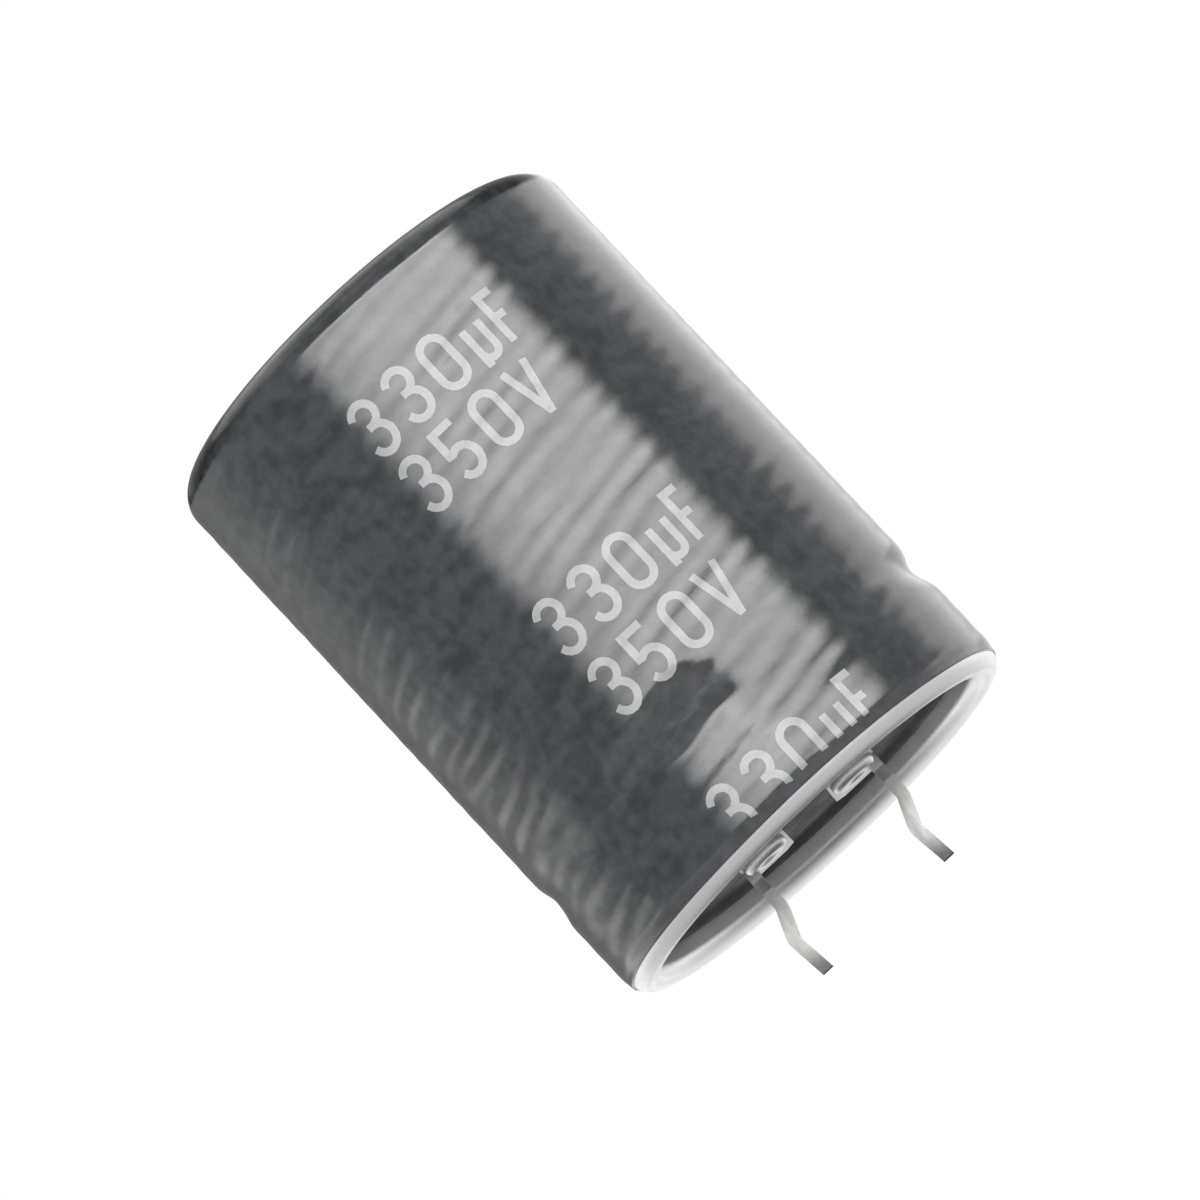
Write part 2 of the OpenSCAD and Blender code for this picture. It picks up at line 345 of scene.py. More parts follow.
def sleeve_film():
    """Charcoal shrink film: glossy, mottled, rippled round the can, with fine dust. It is duller on the ring
    over the closed end, where it has shrunk the most."""
    material, tree, shader = new_finish("sleeve_film", IOR=1.6, Specular_IOR_Level=0.8)
    mottle = maths(tree, "ADD", maths(tree, "MULTIPLY", grain(tree, 0.9, detail=2.0), 0.5),
                   maths(tree, "MULTIPLY", grain(tree, 1.5, stretch=(0.3, 0.3, 1), detail=2.0), 0.5))
    height = place_axes(tree)[2]
    duller = between(tree, height, (SLEEVE_TOP - 0.45) * MM, (SLEEVE_TOP - 0.1) * MM, 0.0, 0.32)
    ripple = grain(tree, 1.2, stretch=(0.3, 0.3, 1), turn=(0.06, 0.03, 0), detail=1.0)
    dust = grain(tree, 0.35, stretch=(0.6, 0.6, 1), detail=2.0)
    relief = maths(tree, "ADD", ripple, maths(tree, "MULTIPLY", dust, 0.16))
    return dressed(material, shader,
                   colour=mixed_colour(tree, between(tree, mottle, 0.32, 0.68),
                                       (0.012, 0.015, 0.018), (0.057, 0.062, 0.066)),
                   rough=maths(tree, "ADD", spread(tree, grain(tree, 1.2), 0.10, 0.17), duller),
                   bump=raised(tree, relief, 0.018))


def printed_ink(name, dark, light):
    """Screen-printed ink: pale, half glossy, a little thin in places."""
    material, tree, shader = new_finish(name, IOR=1.6, Specular_IOR_Level=0.8)
    thin = grain(tree, 0.35, detail=4.0, rough=0.7)
    return dressed(material, shader,
                   colour=mixed_colour(tree, thin, dark, light),
                   rough=spread(tree, grain(tree, 0.2), 0.14, 0.22),
                   bump=raised(tree, thin, 0.003))


def bare_metal(name, base, dull, roughness, lines, depth):
    """Bare metal with drawn lines along one direction, and slightly dull patches."""
    material, tree, shader = new_finish(name, Metallic=1.0)
    patch = grain(tree, 1.6, detail=5.0)
    drawn = grain(tree, 0.12, stretch=lines)
    both = maths(tree, "ADD", maths(tree, "MULTIPLY", drawn, 0.6), maths(tree, "MULTIPLY", patch, 0.4))
    return dressed(material, shader,
                   colour=mixed_colour(tree, patch, dull, base),
                   rough=spread(tree, both, *roughness),
                   bump=raised(tree, drawn, depth))


def can_aluminium():
    """Drawn aluminium: lines round the can, from the radius and the height of the point. The closed end is
    left dull by the blank it was drawn from."""
    material, tree, shader = new_finish("can_aluminium", Metallic=1.0)
    place = place_axes(tree)
    flat = node(tree, "ShaderNodeCombineXYZ", {0: from_axis(tree, place), 1: place[2], 2: 0.0}).outputs[0]
    lines = node(tree, "ShaderNodeTexNoise", {"Vector": flat, "Scale": 1 / (0.3 * MM),
                                              "Detail": 2.0}).outputs["Fac"]
    patch = grain(tree, 1.8, detail=5.0)
    satin = between(tree, maths(tree, "ADD", lines, patch), 0.6, 1.4, 0.30, 0.42)
    duller = between(tree, place[2], (CAN_TOP - 1.5) * MM, (CAN_TOP - 0.5) * MM, 0.0, 0.27)
    return dressed(material, shader,
                   colour=mixed_colour(tree, patch, (0.72, 0.72, 0.73), (0.80, 0.80, 0.81)),
                   rough=maths(tree, "ADD", satin, duller),
                   bump=raised(tree, lines, 0.002))


def black_rubber():
    """Moulded rubber: black, half matt, with a fine grain and a dusty bloom."""
    material, tree, shader = new_finish("black_rubber", IOR=1.5, Specular_IOR_Level=0.35)
    bloom = grain(tree, 1.5, detail=5.0)
    return dressed(material, shader,
                   colour=mixed_colour(tree, bloom, (0.018, 0.018, 0.020), (0.040, 0.040, 0.042)),
                   rough=spread(tree, bloom, 0.52, 0.70),
                   bump=raised(tree, grain(tree, 0.16, detail=2.0), 0.008))


def pressed_laminate():
    """Brown laminated board: layers across its thickness and short paper fibres."""
    material, tree, shader = new_finish("pressed_laminate", IOR=1.55)
    fibre = grain(tree, 0.5, stretch=(1, 0.3, 4), detail=5.0, rough=0.65)
    return dressed(material, shader,
                   colour=mixed_colour(tree, fibre, (0.10, 0.048, 0.022), (0.24, 0.125, 0.062)),
                   rough=spread(tree, fibre, 0.4, 0.6),
                   bump=raised(tree, fibre, 0.01))


def foil_and_paper():
    """Edges of wound foil between paper: rings by the sine of the distance from the axis, a little uneven."""
    material, tree, shader = new_finish("foil_and_paper")
    pitch, uneven = 0.25 * MM, 4.0
    turns = maths(tree, "MULTIPLY", from_axis(tree, place_axes(tree)), TAU / pitch)
    rings = maths(tree, "SINE", maths(tree, "ADD", turns, maths(tree, "MULTIPLY", grain(tree, 3.0), uneven)))
    return dressed(material, shader,
                   colour=mixed_colour(tree, between(tree, rings, -1, 1),
                                       (0.40, 0.33, 0.22), (0.74, 0.67, 0.52)),
                   rough=between(tree, rings, -1, 1, 0.75, 0.5),
                   bump=raised(tree, rings, 0.02))


def closing_tape():
    """Thin clear tape over the roll: yellowish, glossy, with small bubbles."""
    material, tree, shader = new_finish("closing_tape", IOR=1.49)
    bubble = grain(tree, 0.8)
    return dressed(material, shader,
                   colour=mixed_colour(tree, between(tree, bubble, 0.45, 0.6),
                                       (0.62, 0.52, 0.30), (0.80, 0.71, 0.46)),
                   rough=spread(tree, bubble, 0.16, 0.3),
                   bump=raised(tree, bubble, 0.02))


film = sleeve_film()
print_ink = printed_ink("print_ink", (0.40, 0.41, 0.41), (0.52, 0.53, 0.53))
stripe_ink = printed_ink("stripe_ink", (0.50, 0.51, 0.51), (0.58, 0.59, 0.59))
aluminium = can_aluminium()
rubber = black_rubber()
tin = bare_metal("satin_tin", base=(0.66, 0.66, 0.64), dull=(0.52, 0.52, 0.50),
                 roughness=(0.38, 0.52), lines=(1, 0.2, 0.15), depth=0.006)
rivet_metal = bare_metal("upset_aluminium", base=(0.84, 0.84, 0.85), dull=(0.70, 0.70, 0.71),
                         roughness=(0.3, 0.45), lines=(1, 1, 1), depth=0.008)
tab_foil = bare_metal("rolled_foil", base=(0.88, 0.88, 0.89), dull=(0.78, 0.78, 0.79),
                      roughness=(0.2, 0.32), lines=(0.1, 1, 1), depth=0.003)


# Shrunk sleeve

def bead_dip(angle, z):
    """How far the film is drawn in at the bead. Behind and at the sides it follows the bead as a squared
    cosine of the height. In front the shrunk film bridges it, with one shallow fold at the left of the
    text: a straight steep flank above it and a straight gentle one below, between wavy edges."""
    way = degrees_from(angle)
    dip_depth, dip_half = 0.7, 1.9
    dip = dip_depth * np.cos(math.pi / 2 * (z - BEAD_Z) / dip_half) ** 2 * (np.abs(z - BEAD_Z) < dip_half)
    bridged = plateau(way, (-125, -55), (42, 112))
    fold_depth, foot = 0.305, 3.0
    top = 11.1 + 0.22 * np.sin(11 * angle + 2.0) - 0.9 * hump(way, 9, 3)
    floor = 7.35 + 0.3 * np.sin(13 * angle + 1.0)
    fold = fold_depth * np.clip(np.minimum((top - z) / (top - floor), (z - foot) / (floor - foot)), 0, 1)
    folded = plateau(way, (-64, -26), (3.5, 11.5))
    return dip * (1 - bridged) + fold * folded


def low_crease(angle, z):
    """Depth of a crease in the film near its cut edge, at the right of the text."""
    crease_depth = 0.08
    return crease_depth * (1 - rise(z, 4.0, 5.6)) * rise(z, SLEEVE_EDGE, 4.0) * round_hump(angle, 31, 6)


def edge_taper(z):
    """How far the film's cut edge is drawn in over the curled rim: a smooth step over its last millimetre."""
    taper_depth = 0.13
    return taper_depth * (1 - rise(z, SLEEVE_EDGE, 1.8))


# Waves of the film, in millimetres: size, pitch up the can, turns round it, then the swing, number and
# shift of the sine that bends them
RIPPLES = [(0.0078, 1.63, 12, 0.7, 2, 0.0), (0.0020, 1.41, 17, 0.8, 3, 2.6),
           (0.0016, 1.19, 13, 0.8, 2, 2.0), (0.0034, 2.15, 10, 1.2, 3, 0.5)]
SWELLS = [(0.006, 9.3, -2, 0.3, 1, 0.0), (0.005, 13.7, 3, 0.3, 2, 1.7), (0.003, 5.9, 7, 0.5, 1, 0.4)]
WRINKLES = [(0.014, 1.9, -6, 1.4, 6, 0.0), (0.007, 1.25, 5, 1.2, 9, 0.0)]

# Patches that wrinkle: share, angle and its width in degrees, height and its width
WRINKLED = [(1.0, -60, 11, 16.0, 4.0), (0.4, -66, 10, 5.0, 3.0), (0.8, 150, 20, 12.0, 5.0)]


def sleeve_waves(angle, z):
    """Small waves of the shrunk film: sines of the height that wind slowly round the can, longer swells, and
    patches of wrinkles. Each sine has a whole number of periods in a turn, so the waves close. They fade
    out at both ends, and all lie a little inside the solid's radius."""
    slant, fade, sunk = 0.17, 0.8, 0.012

    def waves(table):
        """Sum of the sines of one table."""
        return sum(size * np.sin(TAU * z / pitch - turns * angle
                                 + swing * np.sin(times * angle + slant * z + shift))
                   for size, pitch, turns, swing, times, shift in table)

    patch = sum(share * round_hump(angle, middle, wide) * hump(z, height, tall)
                for share, middle, wide, height, tall in WRINKLED)
    smooth_fold = 1 - 0.85 * round_hump(angle, -8, 16) * hump(z, 8.6, 2.2)
    calm = np.clip((z - SLEEVE_EDGE) / fade, 0, 1) * np.clip((SLEEVE_TOP - SLEEVE_CORNER_R - z) / fade, 0, 1)
    return (waves(RIPPLES) * smooth_fold + waves(SWELLS) + patch * waves(WRINKLES) - sunk) * calm


def sleeve_radius(angle, z):
    """Outer radius of the sleeve's side at an angle round the can and a height."""
    return SLEEVE_R + sleeve_waves(angle, z) - bead_dip(angle, z) - low_crease(angle, z) - edge_taper(z)


def sleeve_inside(angle, z):
    """Inner radius of the sleeve's side: a wall's thickness under the dip, but never inside the can."""
    bead_floor, bead_foot = 0.4, BEAD_HALF_H + 0.3
    can_side = np.interp(np.abs(z - BEAD_Z), [bead_floor, bead_foot], [CAN_R - BEAD_DEPTH, CAN_R])
    clearance, edge_depth = 0.01, 0.04
    drawn_in = edge_depth * (1 - rise(z, SLEEVE_EDGE, 1.3))
    return np.maximum(SLEEVE_R - SLEEVE_T - bead_dip(angle, z), can_side + clearance) - drawn_in


def shrunk_sleeve():
    """Closed revolve of the sleeve's wall. Rows run from the ring's inner edge on the closed end, over the
    corner and down the outside to the cut edge, and back up the inside. Columns run round the can. Both
    edges waver as sums of sines of the angle, and the ring puckers towards its inner edge."""
    angle = all_round(240)
    corner_z = SLEEVE_TOP - SLEEVE_CORNER_R
    corner_r = SLEEVE_R - SLEEVE_CORNER_R
    ring_edge = (SLEEVE_RING_R + 0.10 * np.sin(3 * angle + 0.5) + 0.06 * np.sin(7 * angle)
                 + 0.03 * np.sin(19 * angle + 1.0))
    cut_edge = SLEEVE_EDGE + 0.035 * np.sin(2 * angle + 0.8) + 0.02 * np.sin(5 * angle) + 0.03
    lip_height = 0.04
    pucker = 0.02 * (1 + np.sin(23 * angle + 2 * np.sin(4 * angle)))

    def ring_rows(count, lift):
        """Rows from the ring's inner edge to the corner, `lift` under the outer surface."""
        share = np.linspace(0, 1, count, endpoint=False)[:, None]
        radius = ring_edge + (corner_r - ring_edge) * share
        return radius, SLEEVE_TOP - lift - pucker * (1 - share) ** 2 + 0 * angle

    def corner_rows(count, lift):
        """Rows round the corner by a quarter circle, `lift` under the outer surface."""
        turn = np.linspace(0, math.pi / 2, count, endpoint=False)[:, None]
        reach = SLEEVE_CORNER_R - lift
        return corner_r + reach * np.sin(turn) + 0 * angle, corner_z + reach * np.cos(turn) + 0 * angle

    def side_rows(count, inner=False):
        """Rows down the side to just above the cut edge."""
        share = np.linspace(0, 1, count)[:, None]
        z = corner_z + (cut_edge + lip_height - corner_z) * share
        return (sleeve_inside(angle, z) if inner else sleeve_radius(angle, z)), z

    outside = [ring_rows(8, 0), corner_rows(14, 0), side_rows(304)]
    inside = [ring_rows(4, SLEEVE_T), corner_rows(6, SLEEVE_T), side_rows(60, inner=True)]
    edge_r, inner_r = sleeve_radius(angle, cut_edge), sleeve_inside(angle, cut_edge)
    lip = [(edge_r + (inner_r - edge_r) * share, cut_edge + 0 * angle) for share in (0.2, 0.5, 0.8)]
    skin = outside + lip + [(r[::-1], z[::-1]) for r, z in inside[::-1]]
    radius = np.concatenate([r for r, _ in skin])
    height = np.concatenate([z for _, z in skin])
    points, faces = turned_surface(radius, height, angle)
    finished_piece("shrunk_sleeve", points, faces, film, sharp=50, nodes=["sleeve"])


shrunk_sleeve()


# Drawn can

def score_depth(x, y):
    """Depth of the two crossed score lines of the vent: a coined groove with sloping sides and ends."""
    deepest, half_width, flank = 0.2, 0.26, 0.16
    half_length, run_out = 8.1, 0.3

    def groove(along, across):
        """One groove from zero to one: flat at the bottom, with straight flanks and ends."""
        side = np.clip((half_width - np.abs(across)) / flank, 0, 1)
        end = np.clip((half_length - np.abs(along)) / run_out, 0, 1)
        return side * end
    return deepest * np.maximum(groove(x, y), groove(y, x))


def drawn_can():
    """The can in one closed skin: a square grid with the scores in the middle of the closed end, rings that
    turn its edge into a circle, then the wall's outline carried round the axis to a pole inside."""
    square_half = 9.0
    near_score = [0.10, 0.18, 0.26, 0.40, 0.65, 1.0, 1.4]
    side = np.concatenate([near_score, np.linspace(1.85, square_half, 25)])
    side = np.concatenate([-side[::-1], [0.0], side])
    count = len(side)
    x, y = np.meshgrid(side, side)
    core = np.stack([x, y, CAN_TOP - score_depth(x, y)], -1).reshape(-1, 3)
    step = np.arange(count - 1)
    border = np.concatenate([step, step * count + count - 1,
                             count * count - 1 - step, (count - 1 - step) * count])
    columns = len(border)

    start = core[border]
    first_corner = -0.75 * math.pi
    out_angle = first_corner + TAU * np.arange(columns) / columns
    in_angle = np.unwrap(np.arctan2(start[:, 1], start[:, 0]))
    face_r = CAN_R - CAN_CORNER_R
    share = np.linspace(0, 1, 7)[1:, None]
    ring_angle = in_angle + (out_angle - in_angle) * share
    ring_r = np.hypot(start[:, 0], start[:, 1]) + (face_r - np.hypot(start[:, 0], start[:, 1])) * share
    rings = np.stack([ring_r * np.cos(ring_angle), ring_r * np.sin(ring_angle),
                      np.full_like(ring_r, CAN_TOP)], -1)

    mid_top = CAN_TOP - CAN_WALL / 2
    line = rounded_line([(0, mid_top, 0),
                         (WALL_MID, mid_top, CAN_CORNER_R - CAN_WALL / 2),
                         (WALL_MID, BEAD_Z + BEAD_HALF_H, BEAD_R),
                         (WALL_MID - BEAD_DEPTH, BEAD_Z, BEAD_R),
                         (WALL_MID, BEAD_Z - BEAD_HALF_H, BEAD_R),
                         (WALL_MID, CAN_WALL / 2, CURL_R),
                         (WALL_MID - 2 * CURL_R, CAN_WALL / 2, CURL_R),
                         (WALL_MID - 2 * CURL_R, LIP_TOP, 0)], steps=14)
    # Left out: the outline's two points on the axis, and the one where the rings already end
    outline = wall_outline(line, CAN_WALL)[2:-1]
    wall = np.stack([outline[:, 0, None] * np.cos(out_angle), outline[:, 0, None] * np.sin(out_angle),
                     outline[:, 1, None] + 0 * out_angle], -1)

    points = np.concatenate([core, rings.reshape(-1, 3), wall.reshape(-1, 3),
                             [[0, 0, CAN_TOP - CAN_WALL]]])
    first_ring = count * count
    around = np.arange(columns)
    joint = np.stack([border, first_ring + around, first_ring + np.roll(around, -1), np.roll(border, -1)], 1)
    skirt = grid_faces(len(share) + len(outline), columns, first=first_ring)[:, ::-1]
    last = len(points) - 1
    inside = fan_faces(last, last - columns + around)[:, ::-1]
    faces = [grid_faces(count, count, close_columns=False), joint, skirt, inside]
    finished_piece("drawn_can", points, faces, aluminium, sharp=40, nodes=["can"])


drawn_can()


# Rubber seal

def moulded_seal():
    """Revolve of the seal's outline: a flat field under the feet, a shallow moat, a raised ring against the
    curl, the groove that the lip bites, and the flat back on the board."""
    moat, ring = SEAL_FACE + 0.18, SEAL_FACE - 0.16
    groove = LIP_TOP + 0.05
    line = rounded_line([(0, SEAL_FACE, 0), (8.7, SEAL_FACE, 0.12), (8.95, moat, 0.12), (11.3, moat, 0.12),
                         (11.75, ring, 0.2), (12.7, ring, 0.12), (12.72, groove, 0), (13.4, groove, 0),
                         (13.42, SEAL_FACE, 0), (14.3, SEAL_FACE, 0.1), (14.35, SEAL_BACK, 0.1),
                         (0, SEAL_BACK, 0)], steps=5)
    longest_face = 1.2
    line = evenly(line, longest_face)
    points, faces = turned_surface(line[:, 0, None], line[:, 1, None], all_round(192), poles=True)
    finished_piece("moulded_seal", points, faces, rubber, sharp=40, nodes=["seal_rubber"])


moulded_seal()


# Terminals and rivets

def stamped_terminal(node_name):
    """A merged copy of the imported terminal, with the small rounded edges of a stamped strip."""
    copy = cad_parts[node_name].data.copy()
    copy.name = "stamped_" + node_name
    copy.materials.clear()
    copy.materials.append(tin)
    piece = in_scene("stamped_" + node_name, copy)
    weld = piece.modifiers.new("weld", "WELD")
    weld.merge_threshold = WELD_REACH * MM
    flat = piece.modifiers.new("flat", "DECIMATE")
    flat.decimate_type = "DISSOLVE"
    flat.angle_limit = math.radians(1)
    edge = piece.modifiers.new("edge", "BEVEL")
    edge.width = STAMPED_EDGE * MM
    edge.segments = 3
    edge.limit_method = "ANGLE"
    edge.angle_limit = math.radians(40)
    view = bpy.context.evaluated_depsgraph_get()
    mesh = bpy.data.meshes.new_from_object(piece.evaluated_get(view))
    piece.modifiers.clear()
    piece.data = mesh
    mesh.shade_smooth()
    mesh.set_sharp_from_angle(angle=math.radians(35))
    hand_over(piece, [node_name])


def upset_rivet(node_name, side):
    """Revolve of a rivet: a domed outer head with the dimple of the setting tool, a shank, an inner head."""
    low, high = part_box(node_name)
    bottom, top = low.z / MM, high.z / MM
    under_outer, over_inner = bottom + RIVET_HEAD_H, top - RIVET_HEAD_H
    dome_r, edge_r = 0.42, 0.05
    line = rounded_line([(0, bottom + 0.16, 0), (0.28, bottom + 0.14, 0.2), (0.75, bottom, 0.3),
                         (RIVET_HEAD_R, bottom, dome_r), (RIVET_HEAD_R, under_outer, edge_r),
                         (RIVET_SHANK_R, under_outer, edge_r), (RIVET_SHANK_R, over_inner, edge_r),
                         (RIVET_HEAD_R, over_inner, edge_r), (RIVET_HEAD_R, top, dome_r), (0, top, 0)],
                        steps=7)
    points, faces = turned_surface(line[:, 0, None], line[:, 1, None], all_round(64), poles=True)
    points = points + np.array([side * RIVET_X, -RIVET_Y, 0])
    finished_piece("upset_" + node_name, points, faces, rivet_metal, sharp=45,
                   nodes=[node_name])


for polarity, side_of_x in (("negative", 1), ("positive", -1)):
    stamped_terminal("terminal_" + polarity)
    upset_rivet("rivet_" + polarity, side_of_x)


# Print on the sleeve

# The letters: width of a stroke, height, and the widths of figures and of unit letters
STROKE = 0.5
GLYPH_H = 3.95
WIDE, NARROW = 2.15, 1.65

# How far ink stands above the film and reaches into it
INK_RAISED = 0.012
INK_SUNK = 0.02


def bow(cx, cy, rx, ry, start, end):
    """Fourteen points of an elliptic arc, by its centre, its two radii and its angles in degrees."""
    a = np.radians(np.linspace(start, end, 14))
    return np.stack([cx + rx * np.cos(a), cy + ry * np.sin(a)], 1)


def glyph_strokes(width):
    """Middle lines of plain condensed figures and unit letters, with the origin at the lower left. The
    letter u has the tail of the micro sign."""
    edge = STROKE / 2
    right, top = width - edge, GLYPH_H - edge
    mid, half = width / 2, (right - edge) / 2
    low_r, top_r = (top - edge) * 0.27, (top - edge) * 0.23
    bar_z, short_z = top * 0.56, top * 0.72
    join = np.concatenate
    bowl = bow(mid, edge + half, half, half, 180, 360)
    return {
        "0": [join([bow(mid, top - half, half, half, 0, 180), bowl, [[right, top - half]]])],
        "3": [bow(mid, top - top_r, half * 0.95, top_r, 165, -78),
              join([[[mid - 0.3, edge + 2 * low_r]], bow(mid, edge + low_r, half, low_r, 90, -165)])],
        "5": [join([[[right - 0.1, top], [edge + 0.1, top], [edge + 0.1, bar_z]],
                    bow(mid - 0.05, edge + low_r + 0.05, half, low_r + 0.05, 125, -150)])],
        "F": [np.array([[edge, edge], [edge, top], [right - 0.1, top]]),
              np.array([[edge, bar_z], [right - 0.3, bar_z]])],
        "V": [np.array([[edge, top], [mid - 0.04, edge], [mid + 0.04, edge], [right, top]])],
        "u": [join([[[edge, short_z]], bowl, [[right, short_z]]]),
              np.array([[edge, edge + half], [edge, edge - 0.4]])],
    }


def inked_stroke(line, first_angle, base_z, raise_by, width=STROKE, across=2):
    """A flat ribbon along a line on the sleeve, closed on all sides. Its top runs from half a width left of
    the line to half a width right of it, `raise_by` above the film, and its underside is sunk in the film."""
    step = side_step(line) * width / 2
    share = np.concatenate([[1.0], np.linspace(1, -1, across), [-1.0]])
    lift = np.full(across + 2, raise_by)
    lift[[0, -1]] = -INK_SUNK
    edge = line[:, None] + step[:, None] * share[:, None]
    angle = first_angle + edge[..., 0] / SLEEVE_R
    z = base_z + edge[..., 1]
    points = round_the_can(sleeve_radius(angle, z) + lift, angle, z).reshape(-1, 3)
    rows, columns = len(line), across + 2
    pair = np.arange(across // 2)
    closing = np.stack([pair, pair + 1, across - pair, across + 1 - pair], 1)
    last = (rows - 1) * columns + closing[:, ::-1]
    faces = np.concatenate([grid_faces(rows, columns), closing[:, ::-1], last[:, ::-1]])
    return points, wound_outwards(points - points.mean(0), [faces])[0]


def kept_runs(line, keep):
    """The stretches of a line whose points are all kept."""
    cuts = np.flatnonzero(np.diff(keep.astype(int))) + 1
    parts = zip(np.split(line, cuts), np.split(keep, cuts))
    return [part for part, kept in parts if kept[0] and len(part) > 2]


def printed_piece(name, ribbons, material):
    """All ribbons of one ink in one piece."""
    points, faces, count = [], [], 0
    for ribbon in ribbons:
        points.append(ribbon[0])
        faces.append(ribbon[1] + count)
        count += len(ribbon[0])
    mesh_points, mesh_faces = np.concatenate(points), np.concatenate(faces)
    mesh = bpy.data.meshes.new(name)
    mesh.from_pydata((mesh_points * MM).tolist(), [], mesh_faces.tolist())
    mesh.materials.append(material)
    hand_over(in_scene(name, mesh))


# Each row's words and the height of its foot
ROWS = [("330uF", 32.1), ("350V", 27.5), ("330uF", 15.7), ("350V", 10.85), ("330uF", 0.55)]
ROW_START = math.radians(-16.2)
LETTER_GAP, UNIT_GAP = 0.72, 0.504
PRINT_END = 1.24


def rating_rows():
    """Rows of the rating, upright with the closed end up. The last row is cut off above the sleeve's edge."""
    lowest, step = PRINT_END + STROKE / 2, 0.15
    for words, base_z in ROWS:
        reach = 0.0
        for letter in words:
            width, gap = (NARROW, UNIT_GAP) if letter in "uF" else (WIDE, LETTER_GAP)
            for line in glyph_strokes(width)[letter]:
                line = evenly(np.array(line, float), step)
                for run in kept_runs(line, line[:, 1] + base_z > lowest):
                    yield inked_stroke(run, ROW_START + reach / SLEEVE_R, base_z, INK_RAISED)
            reach += width + gap


printed_piece("rating_print", rating_rows(), print_ink)


# The stripe's place round the can in degrees, and its two ends
STRIPE_MIDDLE, STRIPE_HALF = 108, 16
STRIPE_LOW, STRIPE_HIGH = 1.5, 40.1
STRIPE_RAISED = 0.006

# The minus signs along the middle of the stripe
MINUS_HALF, MINUS_WIDTH, MINUS_RAISED = 1.5, 0.9, 0.014
MINUS_HEIGHTS = 6.6 + 5.4 * np.arange(7)


def polarity_stripe():
    """Pale band beside the negative pin: a shell on the sleeve between two angles and two heights."""
    angle = np.radians(STRIPE_MIDDLE + np.linspace(-STRIPE_HALF, STRIPE_HALF, 65))[None, :]
    z = np.linspace(STRIPE_LOW, STRIPE_HIGH, 301)[:, None]
    film_r = sleeve_radius(angle, z)
    points = np.concatenate([round_the_can(film_r + lift, angle, z).reshape(-1, 3)
                             for lift in (STRIPE_RAISED, -INK_SUNK)])
    rows, columns = film_r.shape
    count = rows * columns
    top = grid_faces(rows, columns, close_columns=False)
    across, along = np.arange(columns - 1), np.arange(rows - 1)
    rim = np.concatenate([across, along * columns + columns - 1,
                          count - 1 - across, (rows - 1 - along) * columns])
    wall = np.stack([rim, np.roll(rim, -1), np.roll(rim, -1) + count, rim + count], 1)
    faces = [top, top[:, ::-1] + count, wall[:, ::-1]]
    finished_piece("polarity_stripe", points, faces, stripe_ink, sharp=60)


polarity_stripe()

minus = evenly(np.array([[-MINUS_HALF, 0.0], [MINUS_HALF, 0.0]]), 0.25)
minus_marks = [inked_stroke(minus, math.radians(STRIPE_MIDDLE), z, MINUS_RAISED, MINUS_WIDTH, across=6)
               for z in MINUS_HEIGHTS]
printed_piece("minus_marks", minus_marks, film)


# Finishes of the nodes that stay

node_finishes = {"seal_board": pressed_laminate(), "washer_negative": rivet_metal,
                 "washer_positive": rivet_metal, "cathode_tab": tab_foil, "anode_tab": tab_foil,
                 "wound_element": foil_and_paper(), "winding_tape": closing_tape()}
for name, material in node_finishes.items():
    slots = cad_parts[name].data.materials
    slots.clear()
    slots.append(material)


# Camera

def photo_camera():
    """Camera below the can's middle on the -Y side, rolled so that the closed end is at the upper left."""
    right = Vector((1, 0, 0))
    ahead = Vector((0, math.cos(CAMERA_ELEVATION), -math.sin(CAMERA_ELEVATION)))
    up = right.cross(ahead)
    turned = Matrix.Rotation(CAMERA_ROLL, 3, -ahead)
    right, up = turned @ right, turned @ up
    aim = Vector((0, 0, CAN_MIDDLE)) + right * AIM_RIGHT + up * AIM_UP
    data = bpy.data.cameras.new("photo_camera")
    data.lens = CAMERA_LENS
    data.sensor_width = CAMERA_SENSOR
    data.clip_start, data.clip_end = CAMERA_NEAR * MM, CAMERA_FAR * MM
    camera = in_scene("photo_camera", data)
    camera.matrix_world = Matrix.Translation((aim - ahead * CAMERA_DISTANCE) * MM) @ Matrix(
        (right, up, -ahead)).transposed().to_4x4()
    bpy.context.scene.camera = camera


photo_camera()


# Studio

FLOOR_Z, FLOOR_REACH = -6.45, 4000
FLOOR_GLOW = 0.26
FLOOR_GREY = (0.66, 0.66, 0.66, 1)
WHITE = (1, 1, 1, 1)
SOFT_LIGHT = 0.62


def seen_directly(tree):
    """One for camera, mirror and glass rays, and zero for the rays that carry soft light."""
    path = node(tree, "ShaderNodeLightPath").outputs
    return maths(tree, "MINIMUM", maths(tree, "ADD", maths(tree, "ADD", path["Is Camera Ray"],
                                                            path["Is Glossy Ray"]),
                                        path["Is Transmission Ray"]), 1.0)


